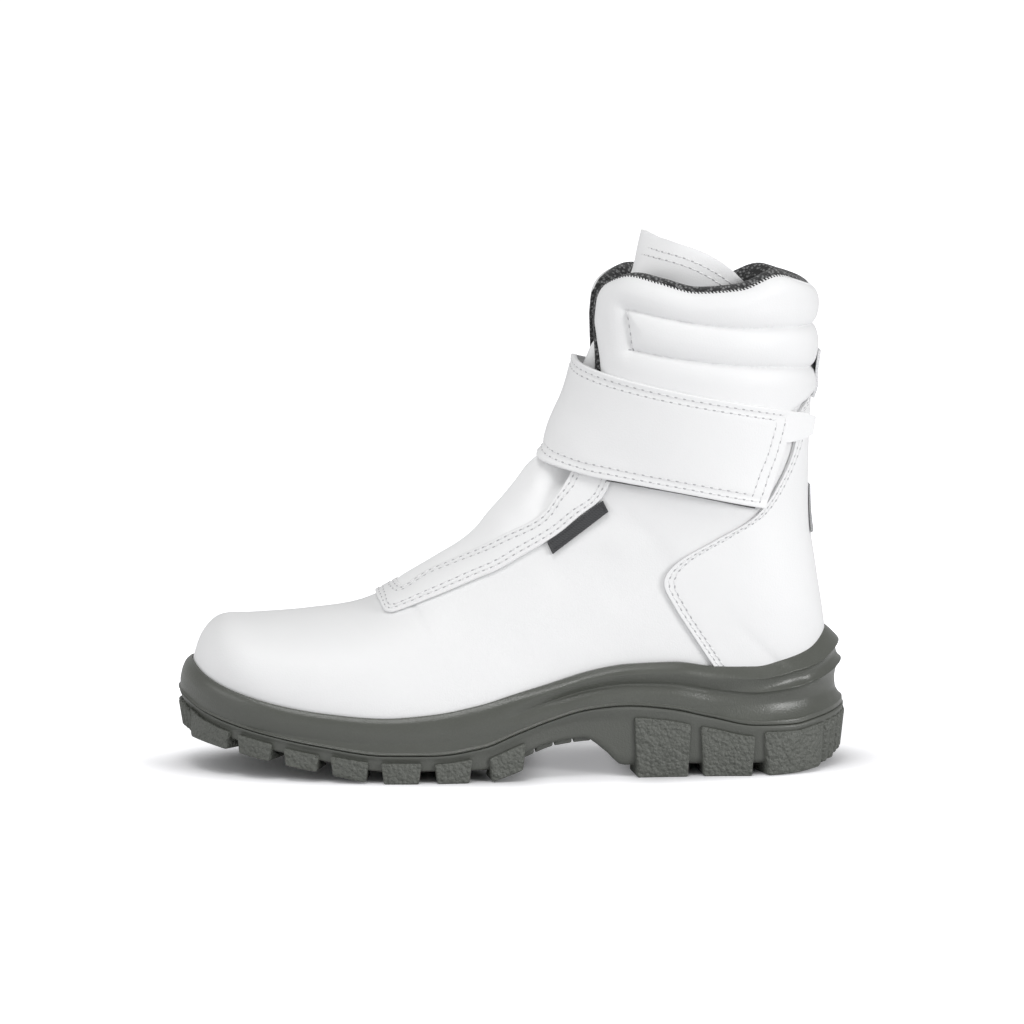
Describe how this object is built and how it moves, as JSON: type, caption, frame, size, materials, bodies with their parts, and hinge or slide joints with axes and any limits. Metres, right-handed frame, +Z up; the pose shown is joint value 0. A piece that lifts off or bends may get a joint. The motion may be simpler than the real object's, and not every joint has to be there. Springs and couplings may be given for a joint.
{
  "type": "cold storage boot",
  "caption": "Ankle-high padded work boot for cold stores, closed by a wide strap over a deep tongue, with a rolled collar and a thick lugged sole.",
  "frame": {"origin": "middle of the footprint's box, on the floor under the sole", "axes": "+X from toe to heel, -Y towards the boot's outer side, +Z up"},
  "size_m": [0.3062, 0.1076, 0.2462],
  "materials": {
    "outsole": "matt, lightly textured on the lugs",
    "midsole": "satin polyurethane",
    "upper": "satin white microfibre",
    "insole": "matt felt",
    "tongue": "soft satin white microfibre",
    "throat_band": "satin white microfibre, stitched",
    "counter": "satin white microfibre, stitched",
    "collar": "padded white microfibre with a charcoal knit lining",
    "strap": "satin white microfibre, stitched",
    "strap_tab": "white woven tape",
    "fastening_pad": "loop tape",
    "side_label": "plain dark woven tape",
    "pull_loop": "white woven tape",
    "reflector": "grey reflective tape"
  },
  "bodies": {
    "root": {"outsole": "outsole", "midsole": "midsole", "upper": "upper", "insole": "insole", "tongue": "tongue", "throat_band": "throat_band", "counter": "counter", "collar": "collar", "strap": "strap", "strap_tab": "strap_tab", "fastening_pad": "fastening_pad", "side_label": "side_label", "pull_loop": "pull_loop", "reflector": "reflector"}
  },
  "joints": []
}
